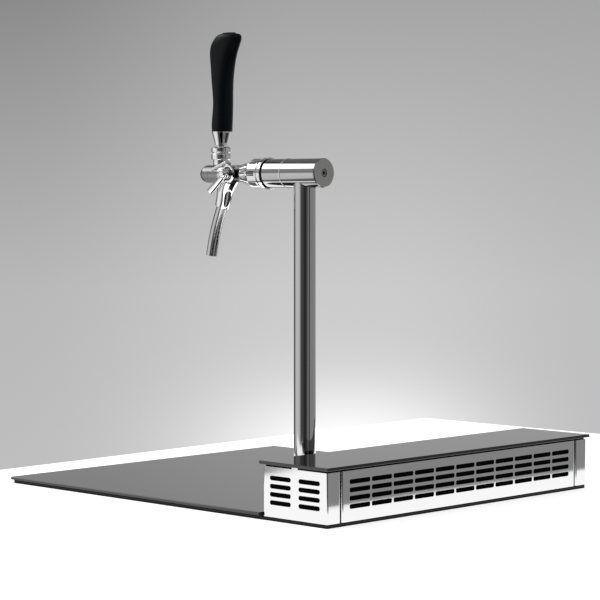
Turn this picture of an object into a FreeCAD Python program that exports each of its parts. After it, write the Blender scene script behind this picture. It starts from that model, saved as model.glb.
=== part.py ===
import FreeCAD, Part
import os
import re
from math import cos, pi, sin
from types import SimpleNamespace

import Sketcher

# Worktop beer dispenser, in millimetres, +Z up. The origin is the middle of the footprint on the underside.
# The user stands at -Y. The vent box stands along the +Y edge, and the tap points to -Y.

Vector = FreeCAD.Vector
Rotation = FreeCAD.Rotation
Placement = FreeCAD.Placement

doc = FreeCAD.newDocument("beer_dispenser")

# Driving dimensions
DRIVING = {
    # flat unit
    "box_length": 510, "box_depth": 108, "front_reach": 491, "glass_side": 2, "base_inset": 1.5,
    "base_front_inset": 3, "seal_thick": 1.5, "seal_width": 14, "base_thick": 2, "bed_thick": 1.5,
    "glass_thick": 4, "glass_bevel": 1.2, "bead_diameter": 4.5,
    # folded sheet steel of the vent box
    "wall_height": 61.5, "sheet": 1.2, "bend": 2.5, "flange_width": 23.5, "joint_gap": 2.5, "lip": 5,
    "return_depth": 8, "foot_width": 15, "side_foot": 12.5, "top_fold": 10,
    # ventilation slots
    "slot_length": 36.6, "end_slot_length": 35.6, "slot_height": 5.8, "slot_corner": 2.2,
    "row_pitch": 10, "first_row": 18,
    "column_pitch": 39.5, "end_pitch": 48.5, "rows": 4, "slot_columns": 11, "end_columns": 2,
    "mat_thick": 2.5,
    # cover of the vent box
    "gap_height": 2.5, "tab_width": 10, "cover_overhang": 3, "cover_front": 4, "gasket_inset": 2.5,
    "gasket_width": 7, "edge_round": 0.8,
    # duct and fixings in the base
    "duct_end": 30, "duct_side": 14, "fixing_diameter": 5.5, "fixing_end": 23, "fixing_spread": 50,
    "screw_diameter": 4, "screw_head": 7.2, "screw_head_height": 2.2, "foot_screw_end": 9,
    "foot_screw_side": 8, "foot_screw_spread": 70, "panel_screw_spread": 120,
    # column and its foot
    "column_inset": 106.5, "column_reach": 32, "column_diameter": 28, "column_wall": 1.5,
    "rosette_diameter": 50, "rosette_height": 4.5, "rosette_round": 2, "foot_diameter": 42,
    "foot_gap": 1, "foot_plug": 40, "foot_circle": 34, "line_diameter": 9.5, "line_bore": 7,
    "line_gap": 0.2, "grommet_diameter": 16, "low_head": 1.3,
    # horizontal head
    "head_height": 424, "head_diameter": 37, "head_wall": 1.5, "head_back": 31, "head_seam": 27,
    "seam_width": 1.4, "seam_proud": 0.4, "head_front": 59.2, "cap_thick": 2.5, "cap_plug": 7,
    "cap_screw_head": 10, "cap_screw_diameter": 6, "cap_screw_key": 5, "cap_screw_sink": 0.4,
    "core_back": 14, "core_front": 20, "spigot_wall": 3.2, "spigot_length": 52, "core_seat": 8,
    "shank_tail": 16, "shank_diameter": 20, "shank_thread": 26, "shank_flange": 3, "shank_nose": 16.8,
    "ring_thick": 2.4, "ring_step": 0.5,
    # coupling nut
    "nut_diameter": 39, "nut_flange": 40.8, "nut_flange_thick": 5, "nut_taper": 4, "nut_cylinder": 24,
    "nut_shoulder": 5, "nut_shoulder_size": 33.6, "nut_cone": 16, "nut_small": 26.4, "flute_diameter": 6.4,
    "flute_start": 72.5, "notches": 8, "gasket_thick": 2,
    # tap body
    "barrel_diameter": 23, "barrel_flange": 28, "barrel_flange_thick": 4, "barrel_end": 166,
    "chamber_diameter": 16, "piston_start": 127, "piston_end": 134, "piston_bore": 10, "piston_length": 4.4,
    "front_bore": 15, "ball_play": 0.3, "neck_wall": 2.4, "pivot_reach": 151.7, "neck_height": 18,
    "dome_length": 20.3, "dome_round": 11, "fit": 0.05, "seam_gap": 0.3,
    # spout
    "socket_top_long": 40, "socket_top_wide": 21, "socket_drop": 11, "socket_length": 35.5,
    "socket_bottom": 19.6, "outlet_drop": 18, "spout_root": 130.5, "spout_tilt": 24.7,
    "spout_diameter": 14.5,
    "spout_bore": 11, "spout_straight": 13, "spout_bend": 262, "spout_sweep": 14.4, "spout_seat": 11,
    # lever, bonnet and handle
    "pivot_height": 21, "ball_diameter": 16, "stem_diameter": 7, "stem_height": 55,
    "finger_diameter": 4.4, "finger_tip": 5, "finger_length": 15, "collar_diameter": 26.4,
    "collar_height": 8.7, "collar_gap": 0.6, "bonnet_top": 17.9, "bonnet_mouth": 10.4, "collar_round": 1.8,
    "cup_gap": 0.35, "ferrule_low": 38.3,
    "ferrule_height": 16.7, "ferrule_small": 16.8, "ferrule_large": 25.6, "seat_height": 3.5,
    # valve stem
    "rod_diameter": 4.4, "spool_start": 146.5, "spool_end": 160, "tail_diameter": 6, "tail_end": 172,
    "slot_play": 0.45, "oring_thick": 1.8,
    # flow control on the side of the tap
    "side_reach": 123.5, "side_boss": 18, "side_face": 12.3, "side_shaft": 8, "gland_width": 2.5,
    "gland_thick": 2, "side_seal_thick": 1.2, "pin_diameter": 2,
    "pin_offset": 1.9, "cone_start": 88, "cone_length": 16, "cone_small": 6, "cone_large": 14,
    "arm_inner": 5.6, "arm_outer": 7, "arm_end": 125.1, "hub_diameter": 24, "hub_thick": 4,
    "hub_gap": 0.6, "hub_boss": 13, "hub_boss_end": 25, "side_cap": 12.4, "side_cap_thick": 3.4,
    "prong_root": 6.4, "prong_tip": 9.2, "prong_length": 36.5, "prong_angle": 39.5,
    "short_diameter": 3.6, "short_start": 7, "short_end": 19.5, "short_angle": 20.9, "short_offset": 13.2,
    "short_reach": 21,
}

# Handle sections: height above the ferrule, shift towards the back, half width along Y, half width along X
HANDLE_SECTIONS = [
    (0.0, 1.7, 13.4, 13.4), (28.0, 3.2, 13.5, 13.3), (53.0, 3.1, 14.4, 13.1), (73.0, 2.7, 16.9, 12.9),
    (92.5, 3.6, 20.3, 12.9), (105.0, 5.5, 23.1, 12.8), (112.0, 8.0, 24.1, 12.6), (118.0, 11.3, 23.6, 12.0),
    (122.5, 13.7, 21.6, 11.0), (125.8, 14.8, 16.4, 9.0), (127.8, 15.2, 10.0, 6.0),
]

sheet = doc.addObject("Spreadsheet::Sheet", "Sizes")
for row, (alias, number) in enumerate(DRIVING.items(), 1):
    sheet.set(f"A{row}", alias)
    sheet.set(f"B{row}", str(number))
    sheet.setAlias(f"B{row}", alias)
doc.recompute()
size = SimpleNamespace(**DRIVING)

# Places worked out from the driving dimensions
BACK = "((front_reach + box_depth - cover_overhang) / 2)"
FRONT = f"({BACK} - box_depth)"
EDGE = f"({FRONT} - front_reach)"
END = "(box_length / 2)"
PLATE_Z = "seal_thick"
BED_Z = "(seal_thick + base_thick)"
GLASS_Z = f"({BED_Z} + bed_thick)"
TABLE_Z = f"({GLASS_Z} + glass_thick)"
WALL_TOP = f"({GLASS_Z} + wall_height)"
COVER_Z = f"({WALL_TOP} + gap_height)"
COLUMN_X = f"({END} - column_inset)"
COLUMN_Y = f"({FRONT} - column_reach)"
HEAD = (COLUMN_X, COLUMN_Y, "head_height")
HINGE_Y = f"({COLUMN_Y} - pivot_reach)"
HINGE_Z = "(head_height + pivot_height)"
HINGE = (COLUMN_X, HINGE_Y, HINGE_Z)
SIDE_Y = f"({COLUMN_Y} - side_reach)"

back_y = (size.front_reach + size.box_depth - size.cover_overhang) / 2
front_y = back_y - size.box_depth

# Turns that lay a piece's own Z axis along the tap (forwards) or along the side shaft (to +X)
FORWARDS = Rotation(Vector(1, 0, 0), 90)
SIDEWAYS = Rotation(Vector(0, 1, 0), 90)

nodes = []


def tied(text):
    """An expression in which each driving dimension's name points at its cell."""
    def cell(word):
        return "Sizes." + word.group(0) if word.group(0) in DRIVING else word.group(0)
    return re.sub(r"[a-z_]+", cell, str(text))


def bind(obj, **expressions):
    """Bind properties of an object to expressions on the driving dimensions."""
    for name, text in expressions.items():
        obj.setExpression(name, tied(text))
    return obj


def put(obj, place=("0", "0", "0"), turn=None):
    """Place an object at expressions for X, Y and Z, with a fixed turn."""
    obj.Placement = Placement(Vector(), turn or Rotation())
    for axis, text in zip("xyz", place):
        obj.setExpression(f"Placement.Base.{axis}", tied(text))
    return obj


def keep(obj, label):
    """Name an object as one of the assembly's pieces."""
    obj.Label = label
    nodes.append(obj)
    return obj


def new_body(label, place=("0", "0", "0"), turn=None):
    body = doc.addObject("PartDesign::Body", "Body_" + label)
    put(body, place, turn)
    return keep(body, label)


def new_sketch(body, name, plane="XY_Plane", lift="0"):
    """A sketch on one of the body's own origin planes, moved along that plane's normal."""
    sketch = body.newObject("Sketcher::SketchObject", name)
    support = [feature for feature in body.Origin.OriginFeatures if feature.Role == plane][0]
    sketch.AttachmentSupport = (support, [""])
    sketch.MapMode = "FlatFace"
    sketch.setExpression("AttachmentOffset.Base.z", tied(lift))
    return sketch


def hold(sketch, kind, geometry, point, text):
    """Fix one coordinate of a sketch point to an expression."""
    index = sketch.addConstraint(Sketcher.Constraint(kind, -1, 1, geometry, point, 1.0))
    sketch.setExpression(f"Constraints[{index}]", tied(text))


def draw_loop(sketch, corners):
    """A closed outline through corners given as pairs of expressions."""
    first = sketch.GeometryCount
    count = len(corners)
    spread = [Vector(cos(2 * pi * i / count), sin(2 * pi * i / count), 0) * 9 for i in range(count)]
    for i in range(count):
        sketch.addGeometry(Part.LineSegment(spread[i], spread[(i + 1) % count]), False)
    for i in range(count):
        follower = first + (i + 1) % count
        sketch.addConstraint(Sketcher.Constraint("Coincident", first + i, 2, follower, 1))
    for i, (across, along) in enumerate(corners):
        hold(sketch, "DistanceX", first + i, 1, across)
        hold(sketch, "DistanceY", first + i, 1, along)


def draw_rectangle(sketch, low_x, low_y, high_x, high_y):
    draw_loop(sketch, [(low_x, low_y), (high_x, low_y), (high_x, high_y), (low_x, high_y)])


def draw_circle(sketch, diameter, across="0", along="0"):
    index = sketch.addGeometry(Part.Circle(Vector(0, 0, 0), Vector(0, 0, 1), 5), False)
    hold(sketch, "DistanceX", index, 3, across)
    hold(sketch, "DistanceY", index, 3, along)
    width = sketch.addConstraint(Sketcher.Constraint("Diameter", index, 10.0))
    sketch.setExpression(f"Constraints[{width}]", tied(diameter))


def draw_slot(sketch, across, along, long, corner=None):
    """A slot of a given length, its middle at two expressions: round ends, or corners of a given radius."""
    if corner is None:
        radius, arcs = "slot_height / 2", [(1, 0, -pi / 2, pi / 2), (-1, 0, pi / 2, 3 * pi / 2)]
    else:
        radius = corner
        arcs = [(1, 1, 0, pi / 2), (-1, 1, pi / 2, pi), (-1, -1, pi, 3 * pi / 2),
                (1, -1, 3 * pi / 2, 2 * pi)]
    first, count = sketch.GeometryCount, len(arcs)
    start = size.slot_height / 2 if corner is None else size.slot_corner
    for side, up, begin, end in arcs:
        centre = Vector(side * (getattr(size, long) / 2 - start), up * (size.slot_height / 2 - start), 0)
        sketch.addGeometry(Part.ArcOfCircle(Part.Circle(centre, Vector(0, 0, 1), start), begin, end), False)
    for i in range(count):
        here = sketch.Geometry[first + i].EndPoint
        there = sketch.Geometry[first + (i + 1) % count].StartPoint
        sketch.addGeometry(Part.LineSegment(here, there), False)
    for i, (side, up, begin, end) in enumerate(arcs):
        line = first + count + i
        sketch.addConstraint(Sketcher.Constraint("Tangent", first + i, 2, line, 1))
        sketch.addConstraint(Sketcher.Constraint("Tangent", line, 2, first + (i + 1) % count, 1))
        hold(sketch, "DistanceX", first + i, 3, f"{across} + {side} * ({long} / 2 - {radius})")
        hold(sketch, "DistanceY", first + i, 3, f"{along} + {up} * (slot_height / 2 - {radius})")
        index = sketch.addConstraint(Sketcher.Constraint("Radius", first + i, start))
        sketch.setExpression(f"Constraints[{index}]", tied(radius))


def pad(body, name, sketch, height):
    feature = body.newObject("PartDesign::Pad", name)
    feature.Profile = sketch
    bind(feature, Length=height)
    sketch.Visibility = False
    return feature


def cut_both_ways(body, name, sketch, length=None):
    """Cut a sketch's outline to both sides of its plane, right through or over a length in all."""
    feature = body.newObject("PartDesign::Pocket", name)
    feature.Profile = sketch
    feature.SideType = "Symmetric"
    if length is None:
        feature.Type = "ThroughAll"
    else:
        bind(feature, Length=length)
    return feature


def round_edges(body, name, radius, chosen, kind="PartDesign::Fillet"):
    """Round or bevel the edges of the body's last feature for which chosen(edge) is true."""
    doc.recompute()
    base = body.Tip
    names = [f"Edge{i}" for i, edge in enumerate(base.Shape.Edges, 1) if chosen(edge)]
    feature = body.newObject(kind, name)
    feature.Base = (base, names)
    bind(feature, **{"Radius" if kind.endswith("Fillet") else "Size": radius})
    return feature


def upright_at(places, reach=0.01):
    """A test for upright edges that stand at given X and Y."""
    def test(edge):
        middle = edge.BoundBox.Center
        straight = edge.BoundBox.XLength < reach and edge.BoundBox.YLength < reach
        return straight and any(abs(middle.x - x) < reach and abs(middle.y - y) < reach for x, y in places)
    return test


def level_at(height, width=0):
    """A test for edges that lie level at a height along the piece's own Z axis and reach a width."""
    def test(edge):
        bounds = edge.BoundBox
        return abs(bounds.Center.z - height) < 0.01 and bounds.ZLength < 0.01 and bounds.XLength > width
    return test


def turned(label, outline, place=HEAD, turn=FORWARDS):
    """A turned piece: an outline of (radius, distance along the axis) revolved about its own Z axis."""
    body = new_body(label, place, turn)
    sketch = new_sketch(body, "Outline_" + label, "XZ_Plane")
    draw_loop(sketch, outline)
    feature = body.newObject("PartDesign::Revolution", "Turn_" + label)
    feature.Profile = sketch
    feature.ReferenceAxis = (sketch, ["V_Axis"])
    feature.Angle = 360
    return body


def cylinder(radius, height, place=("0", "0", "0"), turn=None):
    return put(bind(doc.addObject("Part::Cylinder", "Cylinder"), Radius=radius, Height=height), place, turn)


def box(length, width, height, place):
    return put(bind(doc.addObject("Part::Box", "Box"), Length=length, Width=width, Height=height), place)


def ball(radius, place):
    return put(bind(doc.addObject("Part::Sphere", "Sphere"), Radius=radius), place)


def joined(*pieces):
    union = doc.addObject("Part::MultiFuse", "Union")
    union.Shapes = list(pieces)
    return union


def without(base, *tools):
    cut = doc.addObject("Part::Cut", "Cut")
    cut.Base = base
    cut.Tool = tools[0] if len(tools) == 1 else joined(*tools)
    return cut


def grouped(pieces):
    group = doc.addObject("Part::Compound", "Group")
    group.Links = list(pieces)
    return group


# Holes that several layers of the base share
def foot_places():
    """Places of the screws that hold the four walls of the vent box to the base."""
    middle = f"({FRONT} + box_depth / 2)"
    ends = [(f"{side} * ({END} - foot_screw_end)", f"{middle} + {along} * foot_screw_spread / 2")
            for side in (1, -1) for along in (1, -1)]
    sides = [(f"{across} * panel_screw_spread", f"{wall} + {inward} * foot_screw_side")
             for across in (-1.5, -0.5, 0.5, 1.5) for wall, inward in ((FRONT, 1), (BACK, -1))]
    return ends + sides


def fixing_places():
    """Places of the four screws that hold the base to a worktop, inside the vent box."""
    middle = f"({FRONT} + box_depth / 2)"
    return [(f"{side} * ({END} - fixing_end)", f"{middle} + {along} * fixing_spread / 2")
            for side in (1, -1) for along in (1, -1)]


def column_screw_places():
    return [(f"{COLUMN_X} + {across} * foot_circle / 2", f"{COLUMN_Y} + {along} * foot_circle / 2")
            for across, along in ((1, 0), (0, 1), (-1, 0), (0, -1))]


def holes(sketch, diameter, places):
    for across, along in places:
        draw_circle(sketch, diameter, across, along)


# Worktop seal: a flat black rubber frame under the whole unit
def worktop_seal():
    body = new_body("worktop_seal")
    sketch = new_sketch(body, "SealOutline")
    low_x, high_x = f"-{END} + base_inset", f"{END} - base_inset"
    low_y, high_y = f"{EDGE} + base_front_inset", f"{BACK} - base_inset"
    draw_rectangle(sketch, low_x, low_y, high_x, high_y)
    draw_rectangle(sketch, f"{low_x} + seal_width", f"{low_y} + seal_width",
                   f"{high_x} - seal_width", f"{high_y} - seal_width")
    pad(body, "SealPad", sketch, "seal_thick")


# Base plate: sheet steel with the duct cut-out, the line hole and the fixing holes
def base_plate():
    body = new_body("base_plate")
    sketch = new_sketch(body, "PlateOutline", lift=PLATE_Z)
    draw_rectangle(sketch, f"-{END} + base_inset", f"{EDGE} + base_front_inset",
                   f"{END} - base_inset", f"{BACK} - base_inset")
    draw_rectangle(sketch, f"-{END} + duct_end", f"{FRONT} + duct_side",
                   f"{END} - duct_end", f"{BACK} - duct_side")
    draw_circle(sketch, "grommet_diameter", COLUMN_X, COLUMN_Y)
    holes(sketch, "fixing_diameter", fixing_places())
    holes(sketch, "screw_diameter", foot_places() + column_screw_places())
    pad(body, "PlatePad", sketch, "base_thick")


# Bedding mat that the lower glass is bonded on
def glass_bedding():
    body = new_body("glass_bedding")
    sketch = new_sketch(body, "BeddingOutline", lift=BED_Z)
    draw_rectangle(sketch, f"-{END} + base_inset", f"{EDGE} + base_front_inset", f"{END} - base_inset",
                   FRONT)
    draw_circle(sketch, "foot_diameter + 2 * foot_gap", COLUMN_X, COLUMN_Y)
    pad(body, "BeddingPad", sketch, "bed_thick")


# Seal under the four walls of the vent box
def box_seal():
    body = new_body("box_seal")
    sketch = new_sketch(body, "BoxSealOutline", lift=BED_Z)
    draw_rectangle(sketch, f"-{END} + base_inset", FRONT, f"{END} - base_inset", f"{BACK} - base_inset")
    draw_rectangle(sketch, f"-{END} + foot_width", f"{FRONT} + side_foot",
                   f"{END} - foot_width", f"{BACK} - side_foot")
    holes(sketch, "screw_diameter", foot_places())
    pad(body, "BoxSealPad", sketch, "bed_thick")


# Lower glass: one black sheet with a bevelled rim and the hole for the column's foot
def lower_glass():
    body = new_body("lower_glass")
    sketch = new_sketch(body, "GlassOutline", lift=GLASS_Z)
    draw_rectangle(sketch, f"-{END} - glass_side", EDGE, f"{END} + glass_side", f"{FRONT} - bead_diameter")
    draw_circle(sketch, "foot_diameter + 2 * foot_gap", COLUMN_X, COLUMN_Y)
    pad(body, "GlassPad", sketch, "glass_thick")
    top = size.seal_thick + size.base_thick + size.bed_thick + size.glass_thick

    def upper_rim(edge):
        middle = edge.BoundBox.Center
        flat = abs(middle.z - top) < 0.01 and edge.BoundBox.ZLength < 0.01
        return flat and edge.Curve.TypeId == "Part::GeomLine"
    round_edges(body, "GlassBevel", "glass_bevel", upper_rim, "PartDesign::Chamfer")


# Rubber bead between the glass and the foot of the vent box
def junction_bead():
    keep(cylinder("bead_diameter / 2", "box_length + 2 * glass_side + 2",
                  (f"-{END} - glass_side - 1", f"{FRONT} - bead_diameter / 2",
                   f"{GLASS_Z} + bead_diameter / 2"),
                  SIDEWAYS), "junction_bead")


# End cap of the vent box: one folded sheet with two flanges, lips, a foot, a top fold and a tab
def end_cap(label, side):
    outer = f"{side} * {END}"
    open_end = f"{side} * ({END} - flange_width)"
    inner = f"{side} * ({END} - sheet)"
    body = new_body(label)
    block = new_sketch(body, "Block_" + label, lift=GLASS_Z)
    draw_rectangle(block, open_end, FRONT, outer, BACK)
    pad(body, "Fold_" + label, block, "wall_height")
    corner_x = side * size.box_length / 2
    lip_x = side * (size.box_length / 2 - size.flange_width)
    corners = [(x, y) for x in (corner_x, lip_x) for y in (front_y, back_y)]
    round_edges(body, "Bends_" + label, "bend", upright_at(corners))
    hollow = new_sketch(body, "Hollow_" + label, lift=GLASS_Z)
    lip_side = f"{side} * ({END} - flange_width + sheet)"
    past = f"{side} * ({END} - flange_width - bend)"
    draw_loop(hollow, [
        (past, f"{FRONT} + lip"), (lip_side, f"{FRONT} + lip"), (lip_side, f"{FRONT} + sheet"),
        (inner, f"{FRONT} + sheet"), (inner, f"{BACK} - sheet"), (lip_side, f"{BACK} - sheet"),
        (lip_side, f"{BACK} - lip"), (past, f"{BACK} - lip")])
    cut_both_ways(body, "Inside_" + label, hollow)
    inner_x = side * (size.box_length / 2 - size.sheet)
    lip_inner_x = side * (size.box_length / 2 - size.flange_width + size.sheet)
    inner_corners = [(x, y) for x in (inner_x, lip_inner_x)
                     for y in (front_y + size.sheet, back_y - size.sheet)]
    round_edges(body, "InnerBends_" + label, "bend - sheet", upright_at(inner_corners))
    for name, lift, reach in (("Foot", GLASS_Z, "foot_width"), ("Fold", f"{WALL_TOP} - sheet", "top_fold")):
        strip = new_sketch(body, f"{name}Outline_{label}", lift=lift)
        draw_rectangle(strip, f"{side} * ({END} - {reach})", f"{FRONT} + bend",
                       f"{side} * ({END} - sheet / 2)",
                       f"{BACK} - bend")
        pad(body, f"{name}Pad_{label}", strip, "sheet")
    middle = f"({FRONT} + box_depth / 2)"
    tab = new_sketch(body, "TabOutline_" + label, lift=f"{WALL_TOP} - sheet")
    draw_rectangle(tab, inner, f"{middle} - tab_width / 2", outer, f"{middle} + tab_width / 2")
    pad(body, "Tab_" + label, tab, "gap_height + sheet")
    slot = new_sketch(body, "Slot_" + label, "YZ_Plane")
    draw_slot(slot, f"{middle} - end_pitch / 2", f"{GLASS_Z} + first_row", "end_slot_length")
    first = cut_both_ways(body, "FirstSlot_" + label, slot)
    grid(body, first, slot, label, "end_columns", "end_pitch")
    screws = new_sketch(body, "ScrewHoles_" + label, lift=GLASS_Z)
    places = [place for place in foot_places()[:4] if place[0].startswith(f"{side} ")]
    holes(screws, "screw_diameter", places)
    cut_both_ways(body, "FootHoles_" + label, screws, "3 * sheet")


def grid(body, feature, sketch, label, columns, pitch):
    """Repeat a slot in columns along the wall and in rows up it."""
    pattern = body.newObject("PartDesign::LinearPattern", "Slots_" + label)
    pattern.Originals = [feature]
    pattern.Direction = (sketch, ["H_Axis"])
    pattern.Direction2 = (sketch, ["V_Axis"])
    bind(pattern, Length=f"({columns} - 1) * {pitch}", Occurrences=columns,
         Length2="(rows - 1) * row_pitch", Occurrences2="rows")
    body.Tip = pattern


# Long wall of the vent box: a sheet with side returns, a foot and a top fold
def long_wall(label, face, inward, slotted):
    half = f"({END} - flange_width - joint_gap)"
    body = new_body(label)
    block = new_sketch(body, "Block_" + label, lift=GLASS_Z)
    draw_rectangle(block, f"-{half}", face, half, f"{face} + {inward} * return_depth")
    pad(body, "Fold_" + label, block, "wall_height")
    half_length = size.box_length / 2 - size.flange_width - size.joint_gap
    face_y = back_y if inward < 0 else front_y
    round_edges(body, "Bends_" + label, "bend", upright_at([(-half_length, face_y), (half_length, face_y)]))
    hollow = new_sketch(body, "Hollow_" + label, lift=GLASS_Z)
    draw_rectangle(hollow, f"-{half} + sheet", f"{face} + {inward} * sheet", f"{half} - sheet",
                   f"{face} + {inward} * (return_depth + bend)")
    cut_both_ways(body, "Inside_" + label, hollow)
    inner_y = face_y + inward * size.sheet
    inner_half = half_length - size.sheet
    inner_corners = [(-inner_half, inner_y), (inner_half, inner_y)]
    round_edges(body, "InnerBends_" + label, "bend - sheet", upright_at(inner_corners))
    for name, lift, reach in (("Foot", GLASS_Z, "side_foot"), ("Fold", f"{WALL_TOP} - sheet", "top_fold")):
        strip = new_sketch(body, f"{name}Outline_{label}", lift=lift)
        draw_rectangle(strip, f"-{half} + bend", f"{face} + {inward} * sheet / 2",
                       f"{half} - bend", f"{face} + {inward} * {reach}")
        pad(body, f"{name}Pad_{label}", strip, "sheet")
    if slotted:
        slot = new_sketch(body, "Slot_" + label, "XZ_Plane")
        draw_slot(slot, "-(slot_columns - 1) * column_pitch / 2", f"{GLASS_Z} + first_row", "slot_length",
                  "slot_corner")
        first = cut_both_ways(body, "FirstSlot_" + label, slot)
        grid(body, first, slot, label, "slot_columns", "column_pitch")
    screws = new_sketch(body, "ScrewHoles_" + label, lift=GLASS_Z)
    places = [place for place in foot_places()[4:] if place[1].startswith(f"{face} ")]
    holes(screws, "screw_diameter", places)
    cut_both_ways(body, "FootHoles_" + label, screws, "3 * sheet")


# Black filter mats that lie against the slotted walls
def filter_mats():
    low = f"{GLASS_Z} + sheet"
    height = "wall_height - 2 * sheet"
    span = "(slot_columns - 1) * column_pitch + slot_length + 8"
    keep(box(span, "mat_thick", height, (f"-({span}) / 2", f"{BACK} - sheet - mat_thick", low)),
         "filter_mat_rear")
    width = "end_pitch + end_slot_length + 6"
    start = f"{FRONT} + (box_depth - ({width})) / 2"
    keep(box("mat_thick", width, height, (f"{END} - sheet - mat_thick", start, low)), "filter_mat_right")
    keep(box("mat_thick", width, height, (f"-{END} + sheet", start, low)), "filter_mat_left")


# Screws of the vent box walls, with pan heads on the feet
def box_screws():
    screws = []
    for across, along in foot_places():
        head = cylinder("screw_head / 2", "screw_head_height", (across, along, f"{GLASS_Z} + sheet"))
        shank = cylinder("screw_diameter / 2", f"{GLASS_Z} + sheet - seal_thick", (across, along, PLATE_Z))
        screws.append(joined(head, shank))
    keep(grouped(screws), "box_screws")


# Cover gasket: a black frame on the top folds, set back so that a shadow gap shows
def cover_gasket():
    body = new_body("cover_gasket")
    sketch = new_sketch(body, "GasketOutline", lift=WALL_TOP)
    for inset in ("gasket_inset", "(gasket_inset + gasket_width)"):
        draw_rectangle(sketch, f"-{END} + {inset}", f"{FRONT} + {inset}", f"{END} - {inset}",
                       f"{BACK} - {inset}")
    pad(body, "GasketPad", sketch, "gap_height")


# Cover glass with ground edges
def cover_glass():
    body = new_body("cover_glass")
    sketch = new_sketch(body, "CoverOutline", lift=COVER_Z)
    draw_rectangle(sketch, f"-{END} - cover_overhang", f"{FRONT} - cover_front",
                   f"{END} + cover_overhang", f"{BACK} + cover_overhang")
    pad(body, "CoverPad", sketch, "glass_thick")
    round_edges(body, "CoverEdges", "edge_round", lambda edge: edge.BoundBox.ZLength < 0.01)


# Foot of the column: clamping spigot in the glass hole, rubber ring and rosette on the glass,
# low-head screws
def column_foot():
    tube_inner = "(column_diameter / 2 - column_wall)"
    plug_top = f"{TABLE_Z} + foot_plug"
    spigot = turned("column_spigot", [
        ("grommet_diameter / 2", BED_Z), ("foot_diameter / 2", BED_Z), ("foot_diameter / 2", TABLE_Z),
        (f"{tube_inner} - fit", TABLE_Z), (f"{tube_inner} - fit", plug_top),
        ("grommet_diameter / 2", plug_top),
    ], (COLUMN_X, COLUMN_Y, "0"), Rotation())
    screws = new_sketch(spigot, "SpigotHoles", lift=BED_Z)
    holes(screws, "screw_diameter", [("foot_circle / 2", "0"), ("0", "foot_circle / 2"),
                                     ("-foot_circle / 2", "0"), ("0", "-foot_circle / 2")])
    cut_both_ways(spigot, "SpigotScrewHoles", screws, "6")
    turned("rosette_seal", [
        ("column_diameter / 2 + fit", TABLE_Z), ("rosette_diameter / 2 - 1", TABLE_Z),
        ("rosette_diameter / 2 - 1", f"{TABLE_Z} + 0.5"), ("column_diameter / 2 + fit", f"{TABLE_Z} + 0.5"),
    ], (COLUMN_X, COLUMN_Y, "0"), Rotation())
    rosette = turned("rosette", [
        ("column_diameter / 2 + fit", f"{TABLE_Z} + 0.5"), ("rosette_diameter / 2", f"{TABLE_Z} + 0.5"),
        ("rosette_diameter / 2", f"{TABLE_Z} + 0.5 + rosette_height"),
        ("column_diameter / 2 + fit", f"{TABLE_Z} + 0.5 + rosette_height"),
    ], (COLUMN_X, COLUMN_Y, "0"), Rotation())
    top = size.seal_thick + size.base_thick + size.bed_thick + size.glass_thick + 0.5 + size.rosette_height
    round_edges(rosette, "RosetteRound", "rosette_round", level_at(top, size.rosette_diameter - 0.1))
    screws = []
    for across, along in column_screw_places():
        head = cylinder("screw_head / 2", "low_head", (across, along, "seal_thick - low_head"))
        shank = cylinder("screw_diameter / 2", "base_thick + 3", (across, along, PLATE_Z))
        screws.append(joined(head, shank))
    keep(grouped(screws), "column_screws")


# Column: a polished tube whose top is coped to the round of the head
def column_tube():
    height = f"head_height - {TABLE_Z}"
    outside = cylinder("column_diameter / 2", height, (COLUMN_X, COLUMN_Y, TABLE_Z))
    inside = cylinder("column_diameter / 2 - column_wall", height, (COLUMN_X, COLUMN_Y, TABLE_Z))
    cope = cylinder("head_diameter / 2", "2 * column_diameter",
                    (COLUMN_X, f"{COLUMN_Y} + column_diameter", "head_height"), FORWARDS)
    keep(without(outside, inside, cope), "column_tube")


# Beer line up the column, and the rubber grommet that holds it in the base
def beer_line():
    grommet_top = f"{PLATE_Z} + base_thick + 3"
    turned("line_grommet", [
        ("line_diameter / 2", PLATE_Z), ("grommet_diameter / 2", PLATE_Z),
        ("grommet_diameter / 2", grommet_top),
        ("line_diameter / 2", grommet_top),
    ], (COLUMN_X, COLUMN_Y, "0"), Rotation())
    turned("beer_line", [
        ("line_bore / 2", PLATE_Z), ("line_diameter / 2", PLATE_Z),
        ("line_diameter / 2", "head_height - core_seat"),
        ("line_bore / 2", "head_height - core_seat"),
    ], (COLUMN_X, COLUMN_Y, "0"), Rotation())


# Head: two polished tubes with a seam ring between them, a screwed end cap and a solid core
def head_tubes():
    inner, outer = "(head_diameter / 2 - head_wall)", "head_diameter / 2"
    rear = turned("head_tube_rear", [
        (inner, "-head_back"), (outer, "-head_back"), (outer, "head_seam"), (inner, "head_seam")])
    mouth = new_sketch(rear, "SpigotMouth", "XZ_Plane")
    draw_circle(mouth, "column_diameter - 2 * column_wall")
    opening = rear.newObject("PartDesign::Pocket", "SpigotOpening")
    opening.Profile = mouth
    opening.Type = "ThroughAll"
    doc.recompute()
    below = Vector(size.box_length / 2 - size.column_inset, front_y - size.column_reach,
                   size.head_height - size.head_diameter / 2 + size.head_wall / 2)
    if rear.Shape.isInside(below, 0.001, True):
        opening.Reversed = True
    seam_end = "head_seam + seam_width"
    turned("seam_ring", [
        (inner, "head_seam"), (f"{outer} + seam_proud", "head_seam"), (f"{outer} + seam_proud", seam_end),
        (inner, seam_end)])
    turned("head_tube_front", [(inner, seam_end), (outer, seam_end), (outer, "head_front"),
                               (inner, "head_front")])


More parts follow.
